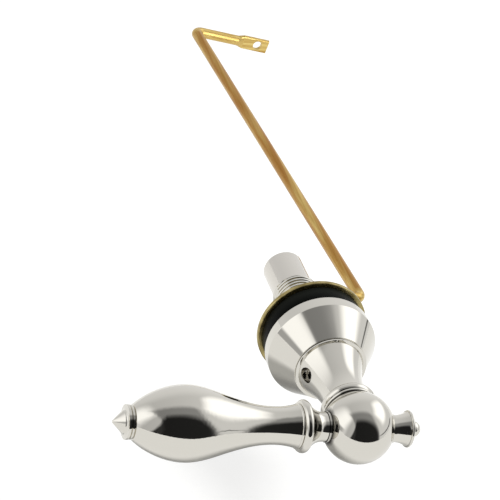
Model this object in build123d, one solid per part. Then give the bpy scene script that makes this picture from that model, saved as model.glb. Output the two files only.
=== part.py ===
from build123d import *

import os
from math import cos, radians, sin, sqrt, tan

# Side-mount cistern lever in polished nickel with a bent brass trip arm, in millimetres.
# The spindle runs along Y, towards the inside of the cistern. The handle points along -X and Z is up.
# The origin is on the spindle axis where the free thread begins, at the rear face of the lock nut.

# Fits, on the radius unless they are named as axial, and how far a cut passes the face it trims
running_clearance = 0.05
slip_clearance = 0.05
stack_clearance = 0.3
axial_play = 0.2
cut_margin = 0.3

# Escutcheon: a hollow flange with a cone in front and a threaded shank behind
flange_r = 18.5
rim_depth = 4.4
rim_round = 0.5
rim_wall = 3.0
cone_front_r = 12.3
cone_depth = 10.1
cone_wall = 2.4
nose_wall = 5.5
shank_r = 8.0
shank_length = 29.7
shank_chamfer = 0.8
shank_relief = 0.25

# Clamping stack on the shank
gasket_r = 17.55
gasket_depth = 7.55
gasket_nose = 1.5
gasket_round = 0.6
washer_r = 18.9
washer_depth = 1.75
washer_round = 0.45
nut_across_flats = 22.0
nut_depth = 7.0
nut_chamfer_angle = 30.0

# Thrust washer between the escutcheon and the turning hub
thrust_washer_r = 9.5
thrust_washer_depth = 0.8
thrust_recess_depth = 0.65

# Spindle
spindle_r = 4.0
spindle_chamfer = 0.5
spindle_grip = 12.5
spindle_flat_depth = 0.8
spindle_flat_margin = 1.0
boss_r = 7.0
boss_length = 15.5
boss_chamfer = 0.5

# Grub screws, one in the hub and one in the end of the spindle
grub_r = 2.5
grub_hex = 2.5
grub_hex_depth = 2.0
grub_point = 0.5
hub_grub_length = 5.2
arm_grub_length = 7.0

# Hub: a bell with a thin lip, a neck, two beads that sit on a circle of the ball, and the ball
mouth_r = 12.05
mouth_chamfer = 0.15
lip_depth = 0.7
bell_start_r = 11.1
bell_length = 14.6
bell_bend_r = 9.35
bell_bend_depth = 5.1
neck_r = 7.4
neck_end_r = 7.6
large_bead_r = 9.3
large_bead_foot_r = 8.1
large_bead_width = 3.4
small_bead_r = 9.2
small_bead_width = 1.3
bead_seat_r = 8.6
ball_r = 11.7
ball_depth = 31.95
grub_depth = 4.1
socket_end_gap = 0.5

# Lever handle, measured from the centre of the ball along the handle
handle_length = 81.3
tip_half_angle = 45.0
tip_nose_r = 0.7
tip_cone_r = 3.65
tip_flare = 0.75
tip_collar_r = 5.5
tip_collar_width = 0.8
tip_ring_r = 5.4
tip_ring_width = 0.55
tip_groove_depth = 0.5
tip_groove_width = 0.45
vase_start_r = 5.5
vase_front_r = 9.9
vase_front_at = 68.0
belly_r = 12.17
belly_at = 57.0
vase_back_r = 8.95
vase_back_at = 44.0
waist_r = 6.03
waist_at = 29.0
collar_bead_r = 7.35
collar_bead_foot_r = 7.0
collar_bead_width = 0.8
bell_collar_r = 8.5
bell_collar_at = 19.0
bell_collar_half = 1.5
bell_collar_foot_r = 7.3
handle_neck_r = 4.75
handle_neck_at = 12.7
seat_ring_r = 5.0
seat_ring_width = 0.9
seat_margin = 0.15
stem_r = 3.0
stem_end_gap = 0.4

# End finial that screws on the handle's stem, measured from its seat on the ball
finial_base_r = 4.6
finial_base_width = 0.9
finial_waist_r = 4.3
finial_lip_r = 6.0
finial_lip_at = 6.1
finial_lip_half = 0.5
finial_length = 10.45
finial_face_depth = 0.7
finial_button_r = 2.6
finial_hole_depth = 4.6

# Trip arm: a round rod bent in one plane through the spindle axis, with a flattened eye.
# Its first leg is measured from the front of the spindle's boss.
rod_r = 2.1
arm_below_level = 8.0
arm_lean = 4.4
arm_seat_depth = 4.6
first_leg = 27.1
first_leg_from_boss = 3.9
run_length = 192.2
end_leg = 32.5
bend_r = 2.7
eye_width = 5.8
eye_thickness = 1.8
eye_round = 0.7
eye_length = 10.9
eye_taper = 2.6
eye_hole_r = 1.9
eye_hole_from_end = 4.5

# Stations along the spindle axis
flange_back = -(gasket_depth + washer_depth + nut_depth)
rim_front = flange_back - rim_depth
nose = rim_front - cone_depth
shank_end = flange_back + shank_length
mouth = nose - axial_play
grub_station = mouth - grub_depth
lip_end = mouth - lip_depth
bell_bend = mouth - bell_bend_depth
bell_end = mouth - bell_length
ball_station = mouth - ball_depth
bead_end = ball_station + sqrt(ball_r**2 - bead_seat_r**2)
bead_middle = bead_end + small_bead_width
bead_top = bead_middle + large_bead_width
spindle_front = mouth - spindle_grip
boss_front = shank_end + axial_play
boss_end = boss_front + boss_length
leg_station = boss_front + first_leg_from_boss
bore_r = spindle_r + running_clearance

# Distances of the two seats on the ball from its centre
handle_seat = sqrt(ball_r**2 - (seat_ring_r + seat_margin) ** 2)
finial_seat = sqrt(ball_r**2 - (finial_base_r + seat_margin) ** 2)
stem_end = finial_seat + finial_hole_depth - stem_end_gap

# Directions of the trip arm
leg_direction = Vector(cos(radians(arm_below_level)), 0, -sin(radians(arm_below_level)))
run_direction = Vector(0, cos(radians(arm_lean)), 0) - leg_direction * sin(radians(arm_lean))
across_direction = leg_direction.cross(Vector(0, 1, 0))


def turned(edges, axis):
    """A solid of revolution from the closed chain of edges of its half section."""
    return revolve(make_face(edges), axis)


def ring(inner_r, outer_r, front, back):
    """A plain ring about the spindle axis."""
    section = Polyline((inner_r, front), (outer_r, front), (outer_r, back), (inner_r, back), close=True)
    return turned([section], Axis.Y)


def along_y(radius, front, back):
    """A cylinder about the spindle axis."""
    return Pos(0, (front + back) / 2, 0) * Rot(90, 0, 0) * Cylinder(radius, back - front)


def along_x(radius, start, end, station):
    """A cylinder parallel to X through the spindle axis at a station."""
    return Pos((start + end) / 2, station, 0) * Rot(0, 90, 0) * Cylinder(radius, end - start)


def on_ball(solid):
    """Puts a solid turned about X through the origin on the ball's cross axis."""
    return Pos(0, ball_station, 0) * solid


def make_escutcheon():
    floor = nose + nose_wall
    cone_slope = (flange_r - cone_front_r) / cone_depth
    floor_r = cone_front_r + cone_slope * nose_wall - cone_wall
    cavity_r = flange_r - rim_wall
    relief_r = shank_r - shank_relief
    recess = nose + thrust_recess_depth
    recess_r = thrust_washer_r + slip_clearance
    section = Polyline(
        (bore_r, recess),
        (recess_r, recess),
        (recess_r, nose),
        (cone_front_r, nose),
        (flange_r, rim_front),
        (flange_r, flange_back),
        (cavity_r, flange_back),
        (floor_r, floor),
        (relief_r, floor),
        (relief_r, 0),
        (shank_r, 0),
        (shank_r, shank_end - shank_chamfer),
        (shank_r - shank_chamfer, shank_end),
        (bore_r, shank_end),
        close=True,
    )
    body = turned([section], Axis.Y)
    rim_edges = body.edges().filter_by(GeomType.CIRCLE).sort_by(SortBy.RADIUS)[-2:]
    return fillet(rim_edges.sort_by(Axis.Y)[0], rim_round)


def make_gasket():
    solid = ring(shank_r + stack_clearance, gasket_r, flange_back, flange_back + gasket_depth)
    outer = solid.edges().filter_by(GeomType.CIRCLE).sort_by(SortBy.RADIUS)[-2:].sort_by(Axis.Y)
    solid = fillet(outer[0], gasket_nose)
    rear = solid.edges().filter_by(GeomType.CIRCLE).group_by(Axis.Y)[-1].sort_by(SortBy.RADIUS)[-1]
    return fillet(rear, gasket_round)


def make_clamp_washer():
    front = flange_back + gasket_depth
    solid = ring(shank_r + stack_clearance, washer_r, front, front + washer_depth)
    outer = solid.edges().filter_by(GeomType.CIRCLE).sort_by(SortBy.RADIUS)[-2:]
    return fillet(outer, washer_round)


def make_lock_nut():
    flat_r = nut_across_flats / 2
    corner_r = flat_r / cos(radians(30))
    drop = (corner_r - flat_r) * tan(radians(nut_chamfer_angle))
    blank = extrude(Plane.XZ * RegularPolygon(corner_r, 6), nut_depth)
    turned_ends = Polyline(
        (0, -nut_depth),
        (flat_r, -nut_depth),
        (corner_r, -nut_depth + drop),
        (corner_r, -drop),
        (flat_r, 0),
        (0, 0),
        close=True,
    )
    nut = blank & turned([turned_ends], Axis.Y)
    return nut - along_y(shank_r + slip_clearance, -nut_depth, 0)


def make_thrust_washer():
    back = nose + thrust_recess_depth
    return ring(spindle_r + stack_clearance, thrust_washer_r, back - thrust_washer_depth, back)


def make_spindle():
    section = Polyline(
        (0, spindle_front),
        (spindle_r - spindle_chamfer, spindle_front),
        (spindle_r, spindle_front + spindle_chamfer),
        (spindle_r, boss_front),
        (boss_r, boss_front),
        (boss_r, boss_end - boss_chamfer),
        (boss_r - boss_chamfer, boss_end),
        (0, boss_end),
        close=True,
    )
    body = turned([section], Axis.Y)
    flat_length = grub_station + grub_r + spindle_flat_margin - spindle_front
    flat = Pos(-spindle_r - (spindle_r - spindle_flat_depth), spindle_front + flat_length / 2, 0)
    body -= flat * Box(2 * spindle_r, flat_length, 2 * spindle_r)
    seat = Vector(0, leg_station, 0) - leg_direction * arm_seat_depth
    body -= extrude(Plane(seat, z_dir=leg_direction) * Circle(rod_r + slip_clearance), 2 * boss_r)
    return body - along_y(grub_r + slip_clearance, leg_station, boss_end)


def bead(radius, foot_r, width, start):
    """The half-round outline of a bead on the hub, from its start towards the ball."""
    return ThreePointArc((foot_r, start), (radius, start - width / 2), (foot_r, start - width))


def make_hub():
    face = Polyline(
        (0, mouth),
        (mouth_r - mouth_chamfer, mouth),
        (mouth_r, mouth - mouth_chamfer),
        (mouth_r, lip_end),
        (bell_start_r, lip_end),
    )
    bell = Spline(
        (bell_start_r, lip_end),
        (bell_bend_r, bell_bend),
        (neck_r, bell_end),
        (neck_end_r, bead_top),
    )
    shoulder = Line((neck_end_r, bead_top), (large_bead_foot_r, bead_top))
    large_bead = bead(large_bead_r, large_bead_foot_r, large_bead_width, bead_top)
    step = Line((large_bead_foot_r, bead_middle), (bead_seat_r, bead_middle))
    small_bead = bead(small_bead_r, bead_seat_r, small_bead_width, bead_middle)
    core = Polyline((bead_seat_r, bead_end), (bead_seat_r, ball_station), (0, ball_station), (0, mouth))
    body = turned([face, bell, shoulder, large_bead, step, small_bead, core], Axis.Y)
    # The ball is turned about the handle's axis, so its poles lie under the handle and the finial
    body += on_ball(Rot(0, 90, 0) * Sphere(ball_r))
    body -= along_y(spindle_r + slip_clearance, spindle_front - socket_end_gap, mouth)
    body -= along_x(stem_r + slip_clearance, -ball_r, ball_r, ball_station)
    body -= along_x(seat_ring_r + cut_margin, -ball_r - cut_margin, -handle_seat, ball_station)
    body -= along_x(finial_base_r + cut_margin, finial_seat, ball_r + cut_margin, ball_station)
    return body - along_x(grub_r + slip_clearance, -mouth_r, 0, grub_station)


def make_lever_handle():
    tip = JernArc((-handle_length, 0), (0, 1), tip_nose_r, tip_half_angle - 90)
    cone_start = tip @ 1
    cone_base = cone_start.X + (tip_cone_r - cone_start.Y) / tan(radians(tip_half_angle))
    collar_front = cone_base + tip_flare
    collar_back = collar_front + tip_collar_width
    ring_start = collar_back + tip_groove_width
    ring_end = ring_start + tip_ring_width
    vase_start = ring_end + tip_groove_width
    groove_r = tip_ring_r - tip_groove_depth
    collar_start = -bell_collar_at - bell_collar_half
    flare_end = collar_start - collar_bead_width
    cove_start = -bell_collar_at + bell_collar_half
    ring_front = -handle_seat - seat_ring_width
    edges = [
        tip,
        Line(cone_start, (cone_base, tip_cone_r)),
        Bezier((cone_base, tip_cone_r), (collar_front, tip_cone_r), (collar_front, tip_collar_r)),
        Polyline(
            (collar_front, tip_collar_r),
            (collar_back, tip_collar_r),
            (collar_back + tip_groove_width / 2, groove_r),
            (ring_start, tip_ring_r),
            (ring_end, tip_ring_r),
            (ring_end + tip_groove_width / 2, groove_r),
            (vase_start, vase_start_r),
        ),
        Spline(
            (vase_start, vase_start_r),
            (-vase_front_at, vase_front_r),
            (-belly_at, belly_r),
            (-vase_back_at, vase_back_r),
            (-waist_at, waist_r),
            (flare_end, collar_bead_foot_r),
        ),
        ThreePointArc(
            (flare_end, collar_bead_foot_r),
            (flare_end + collar_bead_width / 2, collar_bead_r),
            (collar_start, collar_bead_foot_r),
        ),
        Line((collar_start, collar_bead_foot_r), (collar_start, bell_collar_foot_r)),
        ThreePointArc(
            (collar_start, bell_collar_foot_r),
            (-bell_collar_at, bell_collar_r),
            (cove_start, bell_collar_foot_r),
        ),
        Bezier(
            (cove_start, bell_collar_foot_r),
            ((cove_start - handle_neck_at) / 2, handle_neck_r),
            (-handle_neck_at, handle_neck_r),
        ),
        Polyline(
            (-handle_neck_at, handle_neck_r),
            (ring_front, handle_neck_r),
            (ring_front, seat_ring_r),
            (-handle_seat, seat_ring_r),
            (-handle_seat, stem_r),
            (stem_end, stem_r),
            (stem_end, 0),
            (-handle_length, 0),
        ),
    ]
    return on_ball(turned(edges, Axis.X))


def make_end_finial():
    base = finial_seat
    groove = base + finial_base_width
    lip = base + finial_lip_at
    face = lip + finial_lip_half
    button = face + finial_face_depth
    end = base + finial_length
    lip_foot_r = finial_lip_r - finial_lip_half
    dome_start = end - finial_button_r
    lip_start = lip - finial_lip_half
    edges = [
        Polyline((base, 0), (base, finial_base_r), (groove, finial_base_r), (groove, finial_waist_r)),
        Bezier((groove, finial_waist_r), ((groove + lip) / 2, finial_waist_r), (lip_start, lip_foot_r)),
        ThreePointArc((lip_start, lip_foot_r), (lip, finial_lip_r), (face, lip_foot_r)),
        Polyline((face, lip_foot_r), (button, finial_button_r), (dome_start, finial_button_r)),
        JernArc((dome_start, finial_button_r), (1, 0), finial_button_r, -90),
        Line((end, 0), (base, 0)),
    ]
    hole = Pos(base + finial_hole_depth / 2, 0, 0) * Rot(0, 90, 0)
    body = turned(edges, Axis.X) - hole * Cylinder(stem_r + slip_clearance, finial_hole_depth)
    return on_ball(body)


def make_grub_screw(length):
    """A grub screw along Z with its hexagon socket at the top and its point at the origin."""
    shank = chamfer(Cylinder(grub_r, length).edges().filter_by(GeomType.CIRCLE), grub_point)
    socket = Pos(0, 0, length / 2 - grub_hex_depth) * extrude(
        RegularPolygon(grub_hex / 2, 6, major_radius=False), grub_hex_depth
    )
    return Pos(0, 0, length / 2) * (shank - socket)


def make_hub_grub_screw():
    seat = Vector(-(spindle_r - spindle_flat_depth + slip_clearance), grub_station, 0)
    return Plane(seat, z_dir=(-1, 0, 0)) * make_grub_screw(hub_grub_length)


def make_arm_grub_screw():
    seat = Vector(0, leg_station + rod_r + slip_clearance, 0)
    return Plane(seat, z_dir=(0, 1, 0)) * make_grub_screw(arm_grub_length)


def make_trip_arm():
    start = Vector(0, leg_station, 0) - leg_direction * (arm_seat_depth - slip_clearance)
    near_bend = Vector(0, leg_station, 0) + leg_direction * first_leg
    far_bend = near_bend + run_direction * run_length
    taper_start = far_bend + leg_direction * (end_leg - eye_length - eye_taper)
    eye_start = far_bend + leg_direction * (end_leg - eye_length)
    eye_centre = far_bend + leg_direction * (end_leg - eye_hole_from_end)
    path = FilletPolyline(start, near_bend, far_bend, taper_start, radius=bend_r)
    rod = sweep(Plane(start, z_dir=leg_direction) * Circle(rod_r), path=path)
    taper_plane = Plane(taper_start, x_dir=across_direction, z_dir=leg_direction)
    eye_plane = Plane(eye_start, x_dir=across_direction, z_dir=leg_direction)
    flat_section = RectangleRounded(eye_width, eye_thickness, eye_round)
    taper = loft([taper_plane * Circle(rod_r), eye_plane * flat_section])
    eye = extrude(eye_plane * flat_section, eye_length)
    hole = Plane(eye_centre, z_dir=(0, 1, 0)) * Cylinder(eye_hole_r, 2 * eye_thickness)
    return rod + taper + eye - hole


PIECES = {
    "escutcheon": make_escutcheon,
    "gasket": make_gasket,
    "clamp_washer": make_clamp_washer,
    "lock_nut": make_lock_nut,
    "thrust_washer": make_thrust_washer,
    "spindle": make_spindle,
    "hub": make_hub,
    "hub_grub_screw": make_hub_grub_screw,
    "lever_handle": make_lever_handle,
    "end_finial": make_end_finial,
    "trip_arm": make_trip_arm,
    "arm_grub_screw": make_arm_grub_screw,
}

os.makedirs("parts", exist_ok=True)
for name, make in PIECES.items():
    export_step(make(), f"parts/{name}.step")
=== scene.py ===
# %% [markdown]
# # A cistern lever in polished nickel and brass
# The lever turns in a threaded shank that goes through the wall of a cistern. Outside the cistern are
# the vase handle, the ball and the cone of the escutcheon. Inside it are the clamping washer, the end of
# the spindle and the bent brass arm that lifts the flush valve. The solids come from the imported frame,
# in metres, and this lesson gives them their thread, their finishes and their light.

# %% Load the frame
import math

import bpy
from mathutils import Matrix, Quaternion, Vector


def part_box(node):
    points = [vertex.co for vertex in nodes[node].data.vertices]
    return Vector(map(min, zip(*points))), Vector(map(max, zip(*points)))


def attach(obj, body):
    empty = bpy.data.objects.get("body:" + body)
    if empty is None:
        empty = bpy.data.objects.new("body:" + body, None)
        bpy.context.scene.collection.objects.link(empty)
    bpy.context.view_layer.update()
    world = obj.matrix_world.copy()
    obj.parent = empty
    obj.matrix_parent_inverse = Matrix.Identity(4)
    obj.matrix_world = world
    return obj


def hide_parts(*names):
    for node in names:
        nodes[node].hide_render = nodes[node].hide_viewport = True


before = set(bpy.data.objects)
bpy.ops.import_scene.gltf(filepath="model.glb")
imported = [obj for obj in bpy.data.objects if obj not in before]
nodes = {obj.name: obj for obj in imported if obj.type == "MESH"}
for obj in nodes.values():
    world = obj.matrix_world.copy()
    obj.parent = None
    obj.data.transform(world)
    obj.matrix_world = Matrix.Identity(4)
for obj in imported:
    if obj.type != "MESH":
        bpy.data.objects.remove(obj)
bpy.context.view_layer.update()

mm = 0.001
print("nodes:", sorted(nodes))

# %% [markdown]
# ## The camera
# The picture was taken with a long lens from the front, a little to the left and well above the lever,
# and the camera was tipped so that the handle lies level in the picture. A camera that looks from its
# place to an aim point, with a roll about its own axis, holds all of that in a few numbers.

# %% Camera
camera_place = Vector((-284.88, -634.41, 423.15)) * mm
camera_aim = Vector((-23.14, 5.80, 21.37)) * mm
camera_roll = math.radians(14.46)
lens_mm = 172.95
sensor_mm = 36.0

camera_data = bpy.data.cameras.new("camera")
camera_data.lens = lens_mm
camera_data.sensor_width = sensor_mm
camera_data.clip_start = 1 * mm
camera = bpy.data.objects.new("camera", camera_data)
camera.location = camera_place
camera.rotation_mode = "QUATERNION"
upright = (camera_aim - camera_place).to_track_quat("-Z", "Y")
camera.rotation_quaternion = upright @ Quaternion((0, 0, 1), camera_roll)
bpy.context.scene.collection.objects.link(camera)
bpy.context.scene.camera = camera
print("camera is", round((camera_aim - camera_place).length, 3), "m from its aim")

# %% [markdown]
# ## The escutcheon's turned section
# The escutcheon is one turned piece of brass: a cone and a rim outside the cistern, hollow behind, and a
# long shank with a thread. The solid of the frame has a plain shank, and the thread is what shows between
# the washer and the spindle, so this piece is turned again here. Its half section is a list of corners.
# The outer ones are rounded a little, as a polishing mop leaves them, so that they catch the light.

# %% Section of the blank
box_low, box_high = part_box("escutcheon")
nose, shank_end = box_low.y / mm, box_high.y / mm
flange_r = box_high.x / mm
cone_front_r, cone_depth = 12.3, 10.1
rim_depth = 4.4
recess_r, recess_depth = 9.55, 0.65
cavity_r, cavity_floor_r = 15.5, 13.28
nose_wall = 5.5
shank_r, relief_r, bore_r = 8.0, 7.75, 4.05
thread_front = -6.9

rim_front = nose + cone_depth
flange_back = rim_front + rim_depth
recess = nose + recess_depth
cavity_floor = nose + nose_wall

# Each corner is a radius, a station along the axis and the round on it, in millimetres
blank_corners = [
    (bore_r, recess, 0.0),
    (recess_r, recess, 0.0),
    (recess_r, nose, 0.1),
    (cone_front_r, nose, 0.15),
    (flange_r, rim_front, 0.5),
    (flange_r, flange_back, 0.25),
    (cavity_r, flange_back, 0.2),
    (cavity_floor_r, cavity_floor, 0.0),
    (relief_r, cavity_floor, 0.0),
    (relief_r, thread_front, 0.0),
]


def rounded(corners, steps=5):
    """The points of an open section, with a small curve at each corner between its ends."""
    points = [Vector(corners[0][:2])]
    for before, corner, after in zip(corners, corners[1:], corners[2:]):
        middle = Vector(corner[:2])
        back, ahead = Vector(before[:2]) - middle, Vector(after[:2]) - middle
        if corner[2] == 0:
            points.append(middle)
            continue
        reach = corner[2] / math.tan(back.angle(ahead) / 2)
        start, end = middle + back.normalized() * reach, middle + ahead.normalized() * reach
        for k in range(steps + 1):
            t = k / steps
            points.append(start * (1 - t) ** 2 + middle * 2 * t * (1 - t) + end * t**2)
    points.append(Vector(corners[-1][:2]))
    return points


blank = rounded(blank_corners)
print("section of the blank:", len(blank), "points, nose at", round(nose, 2), "mm")

# %% [markdown]
# ## Cutting the thread
# A thread can be a spiral curve with a profile swept along it, but that leaves open ends to close. Here
# the rings of the turned shank are simply set close together, and each point of a ring sinks by where it
# stands on the screw line. That is what the die does to the blank, and the mesh stays one closed skin.
# Nickel plate rounds every edge, so the groove is a wave. Its third power keeps the crests broad and the
# grooves narrow, as they are on a thread that was cut short of its full depth.

# %% Threaded escutcheon
thread_pitch = 1.5
thread_depth = 0.6
thread_lead = 0.8
rings_per_pitch = 16
segments = 192
sharp_angle = math.radians(38)

thread_length = shank_end - thread_front
ring_count = round(thread_length / thread_pitch * rings_per_pitch)
thread_stations = [thread_front + thread_length * k / ring_count for k in range(ring_count + 1)]


def thread_r(station, turn):
    """The radius of the thread at a station, at a part of a turn, under the chamfer of the shank's end."""
    wave = 0.5 - 0.5 * math.cos(2 * math.pi * (station / thread_pitch - turn))
    lead_r = shank_r - thread_lead + (shank_end - station)
    return min(shank_r - thread_depth * wave**3, lead_r)


def threaded_escutcheon():
    """Turns the blank and its thread into one closed mesh."""
    tail = [Vector((bore_r, shank_end))]
    rings = len(blank) + len(thread_stations) + len(tail)
    points, faces = [], []
    for s in range(segments):
        turn = s / segments
        section = blank + [Vector((thread_r(y, turn), y)) for y in thread_stations] + tail
        across, up = math.sin(2 * math.pi * turn), math.cos(2 * math.pi * turn)
        points += [(p.x * across * mm, p.y * mm, p.x * up * mm) for p in section]
        this, following = s * rings, (s + 1) % segments * rings
        for k in range(rings):
            j = (k + 1) % rings
            faces.append((this + k, following + k, following + j, this + j))
    mesh = bpy.data.meshes.new("threaded_escutcheon")
    mesh.from_pydata(points, [], faces)
    mesh.shade_smooth()
    mesh.set_sharp_from_angle(angle=sharp_angle)
    piece = bpy.data.objects.new("threaded_escutcheon", mesh)
    bpy.context.scene.collection.objects.link(piece)
    return piece


escutcheon = threaded_escutcheon()
weighted = escutcheon.modifiers.new("flat_faces_stay_flat", "WEIGHTED_NORMAL")
weighted.keep_sharp = True
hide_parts("escutcheon")
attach(escutcheon, "mounting")
print("escutcheon:", len(escutcheon.data.polygons), "faces,", ring_count, "rings of thread")

# %% [markdown]
# ## Colours and nodes
# Colours are written as sRGB hex values, as a paint chart gives them, and one function turns them into the
# linear values that the shader works with. One more function adds a node, with its settings, its constant
# inputs and its links, so that each finish below reads as a short list.


# %% Helpers for materials
def linear(hex_colour):
    """The linear RGBA of an sRGB hex colour."""
    channels = [int(hex_colour[i : i + 2], 16) / 255 for i in (1, 3, 5)]
    return [c / 12.92 if c <= 0.04045 else ((c + 0.055) / 1.055) ** 2.4 for c in channels] + [1.0]


def add(tree, kind, inputs=None, **settings):
    """Adds a node: settings are its properties, and each input is a constant or an output to link."""
    node = tree.nodes.new(kind)
    for name, value in settings.items():
        setattr(node, name, value)
    for name, value in (inputs or {}).items():
        if isinstance(value, bpy.types.NodeSocket):
            tree.links.new(value, node.inputs[name])
        else:
            node.inputs[name].default_value = value
    return node


def per(size_mm):
    """The scale of a pattern whose features are size_mm apart, for coordinates in metres."""
    return 1 / (size_mm * mm)


def new_material(name):
    """An empty material: its tree, and object coordinates in metres."""
    material = bpy.data.materials.new(name)
    material.use_nodes = True
    tree = material.node_tree
    tree.nodes.clear()
    return material, tree, add(tree, "ShaderNodeTexCoord").outputs["Object"]


def dress(material, *pieces):
    """Gives the pieces this one material."""
    for piece in pieces:
        piece.data.materials.clear()
        piece.data.materials.append(material)
    print(material.name, "on", [piece.name for piece in pieces])


print("the middle grey #808080 is", round(linear("#808080")[0], 3), "in linear light")

# %% [markdown]
# ## Bright nickel plate
# The handle, hub, finial and escutcheon are turned brass, plated with nickel and buffed on a soft mop.
# Nickel is a warm grey mirror that gives back about seven tenths of the light. The picture shows dark rings
# beside the ball, where the handle is seated and where the hub's beads end. What makes them can't be told
# from the picture. They are drawn here as painted shade: a thin dark line in the colour round each seam,
# where shade would fall between the parts. A seam is found by its distance from the ball's centre, along the
# handle or along the hub.

# %% Nickel, painted shade at the seams beside the ball
nickel, tree, place = new_material("bright_nickel_plate_buffed")
ball_r = 11.7 * mm
ball_centre = Vector((0.0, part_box("hub")[0].y + ball_r, 0.0))
seam_shade_reach = 16 * mm
# The station of each seam from the ball's centre and how far its painted shade spreads, in millimetres
handle_seam_shade = {-10.5: 0.70, -11.4: 0.25}
hub_seam_shade = {7.93: 0.35, 9.23: 0.45}

from_ball = add(tree, "ShaderNodeVectorMath", {0: place, 1: ball_centre}, operation="SUBTRACT").outputs[0]
along = add(tree, "ShaderNodeSeparateXYZ", {0: from_ball}).outputs
distance = add(tree, "ShaderNodeVectorMath", {0: from_ball}, operation="LENGTH").outputs["Value"]
unmarked = 1.0
for direction, seams in (("X", handle_seam_shade), ("Y", hub_seam_shade)):
    for seam, spread in seams.items():
        off = add(
            tree,
            "ShaderNodeMath",
            {0: along[direction], 1: seam * mm},
            operation="SUBTRACT",
        ).outputs[0]
        off = add(tree, "ShaderNodeMath", {0: off}, operation="ABSOLUTE").outputs[0]
        off = add(tree, "ShaderNodeMapRange", {"Value": off, "From Max": spread * mm}).outputs["Result"]
        unmarked = add(tree, "ShaderNodeMath", {0: off, 1: unmarked}, operation="MULTIPLY").outputs[0]
elsewhere = add(tree, "ShaderNodeMath", {0: distance, 1: seam_shade_reach}, operation="GREATER_THAN").outputs[0]
unmarked = add(tree, "ShaderNodeMath", {0: unmarked, 1: elsewhere}, operation="MAXIMUM").outputs[0]
# Painted shade: the dark tone lies in a thin line round each seam beside the ball, the nickel's own colour
# elsewhere
tone = add(
    tree,
    "ShaderNodeMix",
    {"Factor": unmarked, "A": linear("#37342e"), "B": linear("#dbd8d0")},
    data_type="RGBA",
)
print("seams beside the ball:", len(handle_seam_shade) + len(hub_seam_shade))

# %% [markdown]
# The mop leaves a haze that changes a little from place to place, and the hand-held buffing leaves waves a
# few millimetres long that are far too shallow to feel but bend a reflected edge slightly. So the roughness
# and a faint bump come from noise.

# %% Nickel, the buffed plate
haze = add(tree, "ShaderNodeTexNoise", {"Vector": place, "Scale": per(7.0), "Detail": 4.0})
rough = add(
    tree,
    "ShaderNodeMapRange",
    {"Value": haze.outputs["Fac"], "From Min": 0.3, "From Max": 0.7, "To Min": 0.03, "To Max": 0.055},
)
waves = add(tree, "ShaderNodeTexNoise", {"Vector": place, "Scale": per(5.0), "Detail": 1.0})
buffing = add(
    tree,
    "ShaderNodeBump",
    {"Height": waves.outputs["Fac"], "Strength": 0.2, "Distance": 0.05 * mm},
)
shader = add(
    tree,
    "ShaderNodeBsdfPrincipled",
    {
        "Base Color": tone.outputs["Result"],
        "Metallic": 1.0,
        "Roughness": rough.outputs["Result"],
        "Normal": buffing.outputs["Normal"],
    },
)
add(tree, "ShaderNodeOutputMaterial", {"Surface": shader.outputs["BSDF"]})
dress(nickel, escutcheon, nodes["hub"], nodes["lever_handle"], nodes["end_finial"])

# %% [markdown]
# ## Turned nickel plate
# What sits inside a cistern need not be buffed, so the spindle is drawn as plated straight from the lathe.
# The tool's feed marks stay under the plate as fine rings round the axis, so its reflections are soft. Feed
# marks of about 0.15 mm would be less than a pixel here, so they are drawn 0.6 mm apart.

# %% Spindle nickel
spindle_nickel, tree, place = new_material("nickel_plate_as_turned")
rings = add(tree, "ShaderNodeMapping", {"Vector": place, "Scale": (0.02, 1.0, 0.02)})
feed = add(
    tree,
    "ShaderNodeTexNoise",
    {"Vector": rings.outputs["Vector"], "Scale": per(0.6), "Detail": 2.0},
)
marks = add(
    tree,
    "ShaderNodeBump",
    {"Height": feed.outputs["Fac"], "Strength": 0.15, "Distance": 0.02 * mm},
)
shader = add(
    tree,
    "ShaderNodeBsdfPrincipled",
    {
        "Base Color": linear("#dcd8d1"),
        "Metallic": 1.0,
        "Roughness": 0.14,
        "Normal": marks.outputs["Normal"],
    },
)
add(tree, "ShaderNodeOutputMaterial", {"Surface": shader.outputs["BSDF"]})
dress(spindle_nickel, nodes["spindle"])

# %% [markdown]
# ## Drawn brass
# The arm is drawn as brass rod straight from the drawing die: streaks run along it, and the bare metal has
# browned a little. The two short legs are drawn less browned than the run. Noise that is stretched along the
# rod gives the streaks, so it is stretched one way on the long run and the other way on the legs.

# %% Arm brass, along the rod
arm_low, arm_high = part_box("trip_arm")
run_middle, run_half = (arm_low.y + arm_high.y) / 2, (arm_high.y - arm_low.y) / 2
legs_begin, legs_full = run_half - 6 * mm, run_half - 3 * mm
stretch = 0.01

arm_brass, tree, place = new_material("drawn_brass_rod")
along_run = add(tree, "ShaderNodeMapping", {"Vector": place, "Scale": (1.0, stretch, 1.0)})
along_legs = add(tree, "ShaderNodeMapping", {"Vector": place, "Scale": (stretch, 1.0, 1.0)})
station = add(tree, "ShaderNodeSeparateXYZ", {0: place}).outputs["Y"]
off_middle = add(tree, "ShaderNodeMath", {0: station, 1: run_middle}, operation="SUBTRACT").outputs[0]
off_middle = add(tree, "ShaderNodeMath", {0: off_middle}, operation="ABSOLUTE").outputs[0]
on_legs = add(
    tree,
    "ShaderNodeMapRange",
    {"Value": off_middle, "From Min": legs_begin, "From Max": legs_full},
).outputs["Result"]
along_rod = add(
    tree,
    "ShaderNodeMix",
    {"Factor": on_legs, "A": along_run.outputs["Vector"], "B": along_legs.outputs["Vector"]},
    data_type="VECTOR",
).outputs["Result"]
print("arm: the legs begin", round(legs_begin / mm, 1), "mm from the middle of the run")

# %% [markdown]
# A coarser noise of the same kind gives the brown. Die lines are far finer than a pixel here, which is about
# a third of a millimetre, so they are drawn 0.9 mm apart. The skin of tarnish scatters a little of the
# light, so the metal share is a bit below one, and the eye sees a soft golden shine instead of a mirror.

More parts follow.
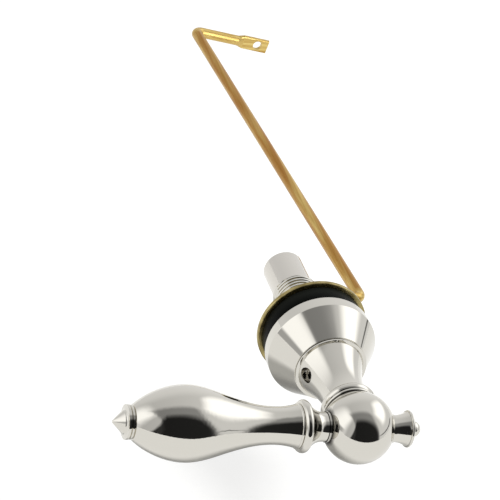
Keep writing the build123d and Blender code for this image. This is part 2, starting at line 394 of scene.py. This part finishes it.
# %% Arm brass, streaks and tarnish
streaks = add(tree, "ShaderNodeTexNoise", {"Vector": along_rod, "Scale": per(0.9), "Detail": 3.0})
patches = add(tree, "ShaderNodeTexNoise", {"Vector": along_rod, "Scale": per(2.4), "Detail": 2.0})
tint = add(tree, "ShaderNodeValToRGB", {"Fac": streaks.outputs["Fac"]})
tint.color_ramp.elements[0].position, tint.color_ramp.elements[1].position = 0.35, 0.65
tint.color_ramp.elements[0].color = linear("#b68f45")
tint.color_ramp.elements[1].color = linear("#e3ca80")
tarnish = add(
    tree,
    "ShaderNodeMapRange",
    {"Value": patches.outputs["Fac"], "From Min": 0.35, "From Max": 0.65, "To Min": 0.2, "To Max": 0.85},
)
browned = add(
    tree,
    "ShaderNodeMath",
    {0: tarnish.outputs["Result"], 1: on_legs},
    operation="SUBTRACT",
    use_clamp=True,
)
colour = add(
    tree,
    "ShaderNodeMix",
    {"Factor": browned.outputs[0], "A": tint.outputs["Color"], "B": linear("#a56f2e")},
    data_type="RGBA",
)
rough = add(
    tree,
    "ShaderNodeMapRange",
    {"Value": streaks.outputs["Fac"], "From Min": 0.3, "From Max": 0.7, "To Min": 0.34, "To Max": 0.27},
)
shader = add(
    tree,
    "ShaderNodeBsdfPrincipled",
    {"Base Color": colour.outputs["Result"], "Metallic": 0.92, "Roughness": rough.outputs["Result"]},
)
add(tree, "ShaderNodeOutputMaterial", {"Surface": shader.outputs["BSDF"]})
dress(arm_brass, nodes["trip_arm"])

# %% [markdown]
# ## Pressed and machined brass
# The washer is a dull olive gold, in small clouds, and is taken as stamped from yellow brass sheet. The lock
# nut is hidden in the picture, and is taken as cut from brass bar and cleaner. Both are plain metal with
# a cloudy tint, so one function makes both.


# %% Washer and nut brass
def clouded_brass(name, unmarked, dull, cloud_mm, roughness):
    """Brass with clouds of a dull tint, each about cloud_mm across, and a fine grain."""
    material, tree, place = new_material(name)
    clouds = add(tree, "ShaderNodeTexNoise", {"Vector": place, "Scale": per(cloud_mm), "Detail": 5.0})
    tint = add(tree, "ShaderNodeValToRGB", {"Fac": clouds.outputs["Fac"]})
    tint.color_ramp.elements[0].position, tint.color_ramp.elements[1].position = 0.38, 0.62
    tint.color_ramp.elements[0].color = linear(dull)
    tint.color_ramp.elements[1].color = linear(unmarked)
    grain = add(tree, "ShaderNodeTexNoise", {"Vector": place, "Scale": per(0.4), "Detail": 2.0})
    dents = add(
        tree,
        "ShaderNodeBump",
        {"Height": grain.outputs["Fac"], "Strength": 0.2, "Distance": 0.02 * mm},
    )
    shader = add(
        tree,
        "ShaderNodeBsdfPrincipled",
        {
            "Base Color": tint.outputs["Color"],
            "Metallic": 1.0,
            "Roughness": roughness,
            "Normal": dents.outputs["Normal"],
        },
    )
    add(tree, "ShaderNodeOutputMaterial", {"Surface": shader.outputs["BSDF"]})
    return material


dress(clouded_brass("stamped_yellow_brass", "#c2b27c", "#938456", 4.0, 0.32), nodes["clamp_washer"])
dress(clouded_brass("machined_yellow_brass", "#d8bf7c", "#c0a764", 3.0, 0.24), nodes["lock_nut"])

# %% [markdown]
# ## Moulded rubber
# The gasket is black rubber, moulded in a polished tool. It is nearly black, and light slides off it softly.
# A faint grain of flow marks keeps that light from looking like glass. In the picture the ring is greyer on
# its open side than at the front, which is tucked under the flange. The front is painted shade: the colour
# follows the depth of the ring and is darkest under the flange.

# %% Rubber
rubber, tree, place = new_material("moulded_black_rubber")
gasket_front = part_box("gasket")[0].y
shade_fades_from, shade_gone_at = gasket_front + 1.5 * mm, gasket_front + 5.0 * mm
depth = add(tree, "ShaderNodeSeparateXYZ", {0: place}).outputs["Y"]
clear_of_shade = add(
    tree,
    "ShaderNodeMapRange",
    {"Value": depth, "From Min": shade_fades_from, "From Max": shade_gone_at},
)
# Painted shade: near black at the front under the flange, greyer towards the open side
tone = add(
    tree,
    "ShaderNodeMix",
    {"Factor": clear_of_shade.outputs["Result"], "A": linear("#040504"), "B": linear("#1b1d1a")},
    data_type="RGBA",
)
grain = add(tree, "ShaderNodeTexNoise", {"Vector": place, "Scale": per(0.8), "Detail": 3.0})
skin = add(
    tree,
    "ShaderNodeBump",
    {"Height": grain.outputs["Fac"], "Strength": 0.25, "Distance": 0.03 * mm},
)
shader = add(
    tree,
    "ShaderNodeBsdfPrincipled",
    {
        "Base Color": tone.outputs["Result"],
        "Roughness": 0.3,
        "Specular IOR Level": 0.02,
        "Normal": skin.outputs["Normal"],
    },
)
add(tree, "ShaderNodeOutputMaterial", {"Surface": shader.outputs["BSDF"]})
dress(rubber, nodes["gasket"])

# %% [markdown]
# ## Nylon and steel
# The thrust washer can't be seen in the picture. It is taken as natural nylon, a milky white with a waxy
# surface. The grub screws are taken as plain steel, and the hexagon of the one in the bell shows as bright
# edges round a dark hole.

# %% Nylon
nylon, tree, place = new_material("natural_nylon")
milk = add(tree, "ShaderNodeTexNoise", {"Vector": place, "Scale": per(3.0), "Detail": 3.0})
rough = add(
    tree,
    "ShaderNodeMapRange",
    {"Value": milk.outputs["Fac"], "From Min": 0.3, "From Max": 0.7, "To Min": 0.4, "To Max": 0.5},
)
shader = add(
    tree,
    "ShaderNodeBsdfPrincipled",
    {"Base Color": linear("#e6e2d6"), "Roughness": rough.outputs["Result"], "IOR": 1.53},
)
add(tree, "ShaderNodeOutputMaterial", {"Surface": shader.outputs["BSDF"]})
dress(nylon, nodes["thrust_washer"])

# %% Steel
steel, tree, place = new_material("plain_screw_steel")
wear = add(tree, "ShaderNodeTexNoise", {"Vector": place, "Scale": per(0.7), "Detail": 3.0})
rough = add(
    tree,
    "ShaderNodeMapRange",
    {"Value": wear.outputs["Fac"], "From Min": 0.3, "From Max": 0.7, "To Min": 0.18, "To Max": 0.3},
)
shader = add(
    tree,
    "ShaderNodeBsdfPrincipled",
    {"Base Color": linear("#9b9893"), "Metallic": 1.0, "Roughness": rough.outputs["Result"]},
)
add(tree, "ShaderNodeOutputMaterial", {"Surface": shader.outputs["BSDF"]})
dress(steel, nodes["hub_grub_screw"], nodes["arm_grub_screw"])

# %% [markdown]
# ## The table
# The lever is shown over a sheet of white paper. The sheet is matt, so it keeps the lever's shadow. It also
# has a little light of its own for the rays that look at it, from the camera or by way of the metal, which
# lifts the plain paper to white in the picture and in the reflections alike. Under the lever that light is
# weaker for the metal in a soft round spot, a painted shadow that gives the undersides of the polished work an
# edge against the white, while the camera itself sees plain paper.

# %% Sheet of paper
table_drop = 65 * mm
table_front, table_far = -480 * mm, 2000 * mm

corners = [
    (-table_far, table_front),
    (table_far, table_front),
    (table_far, table_far),
    (-table_far, table_far),
]
table_mesh = bpy.data.meshes.new("table")
table_mesh.from_pydata([(x, y, -table_drop) for x, y in corners], [], [(0, 1, 2, 3)])
table = bpy.data.objects.new("table", table_mesh)
bpy.context.scene.collection.objects.link(table)
print("table", round(table_drop / mm), "mm under the spindle axis")

# %% Paper and its painted shadow
paper_glow, shadow_spot_glow, camera_glow = 0.62, 0.16, 0.72
shadow_spot_place = Vector((-20 * mm, -15 * mm, -table_drop))
shadow_spot_r, paper_r = 42 * mm, 80 * mm

paper, tree, place = new_material("white_paper")
path = add(tree, "ShaderNodeLightPath").outputs
by_metal = add(
    tree,
    "ShaderNodeMath",
    {0: path["Is Glossy Ray"], 1: path["Is Transmission Ray"]},
    operation="ADD",
)
# Painted shadow: the glow that the metal sees is weaker in a soft round spot under the lever
away = add(tree, "ShaderNodeVectorMath", {0: place, 1: shadow_spot_place}, operation="DISTANCE").outputs["Value"]
clear = add(
    tree,
    "ShaderNodeMapRange",
    {"Value": away, "From Min": shadow_spot_r, "From Max": paper_r, "To Min": shadow_spot_glow, "To Max": paper_glow},
    interpolation_type="SMOOTHSTEP",
)
glow = add(
    tree,
    "ShaderNodeMath",
    {0: by_metal.outputs[0], 1: clear.outputs["Result"]},
    operation="MULTIPLY",
)
glow = add(
    tree,
    "ShaderNodeMath",
    {0: path["Is Camera Ray"], 1: camera_glow, 2: glow.outputs[0]},
    operation="MULTIPLY_ADD",
)
matt = add(tree, "ShaderNodeBsdfDiffuse", {"Color": linear("#a8a8a6")})
own = add(tree, "ShaderNodeEmission", {"Strength": glow.outputs[0]})
both = add(tree, "ShaderNodeAddShader", {0: matt.outputs[0], 1: own.outputs[0]})
add(tree, "ShaderNodeOutputMaterial", {"Surface": both.outputs[0]})
dress(paper, table)

# %% [markdown]
# ## The light tent
# Polished metal shows the room more than itself, so the light is a room: a white tent with a bright panel on
# each side. Its roof has an opening at the front, where the dark room shows, and a grey shade behind that.
# The same tent could be built from cards and lamps, but the world needs no meshes that would stand in the
# way of other views. Each part of the tent is a soft band of the direction that a ray takes. A panel is
# a window on a side wall, so its two measures are how far it lies along the wall and how high, over the
# distance to the wall. The narrow gaps low on both walls are the seams of the tent, which draw thin dark
# lines on the cone.

# %% Directions in the tent
world = bpy.data.worlds.new("light_tent")
bpy.context.scene.world = world
world.use_nodes = True
tree = world.node_tree
tree.nodes.clear()
ray = add(tree, "ShaderNodeTexCoord").outputs["Generated"]
axis = add(tree, "ShaderNodeSeparateXYZ", {0: ray}).outputs
# A ray that hardly leans to a side still needs a distance to divide by
nearest_wall = 0.02


def band(value, rise, fall):
    """1 between two soft edges and 0 outside: rise and fall are where each edge starts and ends."""
    up = add(
        tree,
        "ShaderNodeMapRange",
        {"Value": value, "From Min": rise[0], "From Max": rise[1]},
        interpolation_type="SMOOTHSTEP",
    ).outputs["Result"]
    down = add(
        tree,
        "ShaderNodeMapRange",
        {"Value": value, "From Min": fall[1], "From Max": fall[0]},
        interpolation_type="SMOOTHSTEP",
    ).outputs["Result"]
    return add(tree, "ShaderNodeMath", {0: up, 1: down}, operation="MULTIPLY").outputs[0]


def wall_window(side, along, high):
    """A soft window on the wall at the side +1, right, or -1, left."""
    away = add(tree, "ShaderNodeMath", {0: axis["X"], 1: side}, operation="MULTIPLY").outputs[0]
    away = add(tree, "ShaderNodeMath", {0: away, 1: nearest_wall}, operation="MAXIMUM").outputs[0]
    reach = add(tree, "ShaderNodeMath", {0: axis["Y"], 1: away}, operation="DIVIDE").outputs[0]
    height = add(tree, "ShaderNodeMath", {0: axis["Z"], 1: away}, operation="DIVIDE").outputs[0]
    return add(
        tree,
        "ShaderNodeMath",
        {0: band(reach, *along), 1: band(height, *high)},
        operation="MULTIPLY",
    ).outputs[0]


print("world:", world.name)

# %% Panels and gaps on the walls
right_panel = wall_window(1, ((-0.55, -0.05), (0.70, 1.35)), ((0.30, 0.60), (1.00, 2.25)))
left_panel = wall_window(-1, ((-0.75, -0.20), (0.00, 1.50)), ((-0.30, -0.10), (0.80, 1.70)))
right_gap = wall_window(1, ((-1.0, -0.6), (0.28, 0.42)), ((0.045, 0.07), (0.10, 0.125)))
left_gap = wall_window(-1, ((-0.60, -0.20), (-0.04, 0.10)), ((-0.10, 0.0), (0.12, 0.24)))
print("tent with its walls:", len(tree.nodes), "nodes")

# %% Rear wall, opening and shade
# An edge that no direction reaches, on either side, leaves a band open there
open_before, open_after = (-9.0, -8.0), (8.0, 9.0)
right_lean, rear_lean = (-1.0, -0.6, 0.0), (0.15, 1.0, 0.0)


def overhead(left_lean, left_edge, right_edge, rear_edge):
    """The part of the tent's roof inside a left, a right and a rear edge, open to the front."""
    inside = 1.0
    for lean, rise, fall in (
        (left_lean, left_edge, open_after),
        (right_lean, right_edge, open_after),
        (rear_lean, open_before, rear_edge),
    ):
        along = add(tree, "ShaderNodeVectorMath", {0: ray, 1: lean}, operation="DOT_PRODUCT").outputs["Value"]
        inside = add(
            tree,
            "ShaderNodeMath",
            {0: band(along, rise, fall), 1: inside},
            operation="MULTIPLY",
        ).outputs[0]
    return inside


rear_wall = band(axis["Y"], (0.45, 0.90), open_after)
opening = overhead((1.0, -0.1, -0.2), (-0.60, -0.52), (-0.44, -0.28), (-0.66, -0.36))
shade = overhead((1.0, 0.2, 0.0), (-0.69, -0.60), (-0.40, -0.12), (-0.22, 0.08))
print("tent with its roof:", len(tree.nodes), "nodes")

# %% [markdown]
# The parts are added up: the tent's own level, a little lighter on the right, then the panels, and then the
# dark parts take their share away. The picture's background is plain white, which the camera sees all round.
# Rays by way of the metal see the tent itself, and matt surfaces get its plain level.

# %% The tent's level
tent_level, right_gain, plain_level = 0.68, 0.136, 0.4
gains = ((right_panel, 0.85), (left_panel, 0.80), (rear_wall, 0.15))
shares = ((opening, 0.94), (shade, 0.58), (right_gap, 0.80), (left_gap, 0.65))

level = add(
    tree,
    "ShaderNodeMath",
    {0: axis["X"], 1: right_gain, 2: tent_level},
    operation="MULTIPLY_ADD",
).outputs[0]
for part, gain in gains:
    level = add(tree, "ShaderNodeMath", {0: part, 1: gain, 2: level}, operation="MULTIPLY_ADD").outputs[0]
for part, share in shares:
    kept = add(tree, "ShaderNodeMath", {0: part, 1: -share, 2: 1.0}, operation="MULTIPLY_ADD").outputs[0]
    level = add(tree, "ShaderNodeMath", {0: level, 1: kept}, operation="MULTIPLY").outputs[0]
print("tent level", tent_level, "with plain light", plain_level)

# %% What the rays see
path = add(tree, "ShaderNodeLightPath").outputs
looks = path["Is Camera Ray"]
for kind in ("Is Glossy Ray", "Is Transmission Ray"):
    looks = add(tree, "ShaderNodeMath", {0: looks, 1: path[kind]}, operation="ADD").outputs[0]
shown = add(tree, "ShaderNodeMath", {0: level, 1: path["Is Camera Ray"]}, operation="MAXIMUM").outputs[0]
tent = add(tree, "ShaderNodeBackground", {"Strength": shown, "Color": linear("#ffffff")})
light = add(tree, "ShaderNodeBackground", {"Strength": plain_level, "Color": linear("#ffffff")})
mixed = add(tree, "ShaderNodeMixShader", {0: looks, 1: light.outputs[0], 2: tent.outputs[0]})
add(tree, "ShaderNodeOutputWorld", {"Surface": mixed.outputs[0]})
print("whole tent:", len(tree.nodes), "nodes")

# %% [markdown]
# ## The lamps
# A broad light from above gives the matt surfaces their form and lays the shadow on the paper. It stays out
# of the reflections, because the metal already sees the tent. The short leg at the arm's end points at the
# dark opening, so it gets a small soft box of its own, which stands beside the shank and turns its back on
# the lever.

# %% Overhead light
lamp_angle = math.radians(22)
lamp_strength = 1.6
lamp_from = Vector((0.2, -0.3, 1.0))

lamp_data = bpy.data.lights.new("overhead_light", "SUN")
lamp_data.angle = lamp_angle
lamp_data.energy = lamp_strength
lamp = bpy.data.objects.new("overhead_light", lamp_data)
lamp.rotation_euler = lamp_from.to_track_quat("Z", "Y").to_euler()
lamp.visible_glossy = False
bpy.context.scene.collection.objects.link(lamp)
print("overhead light", lamp_strength, "W per square metre")

# %% Soft box for the arm
box_place = Vector((87.0, 47.0, 105.0)) * mm
box_facing = Vector((-0.1, 0.99, -0.1))
box_width, box_height = 120 * mm, 190 * mm
box_power = 0.24

box_data = bpy.data.lights.new("small_soft_box", "AREA")
box_data.shape = "RECTANGLE"
box_data.size, box_data.size_y = box_width, box_height
box_data.energy = box_power
soft_box = bpy.data.objects.new("small_soft_box", box_data)
soft_box.location = box_place
soft_box.rotation_euler = box_facing.to_track_quat("-Z", "Y").to_euler()
bpy.context.scene.collection.objects.link(soft_box)
print("soft box", box_power, "W, at", [round(v / mm) for v in box_place], "mm")

# %% [markdown]
# ## Finish
# The picture uses the plain Standard view, so that no film curve changes the colours.

# %% Finish
bpy.context.scene.view_settings.view_transform = "Standard"
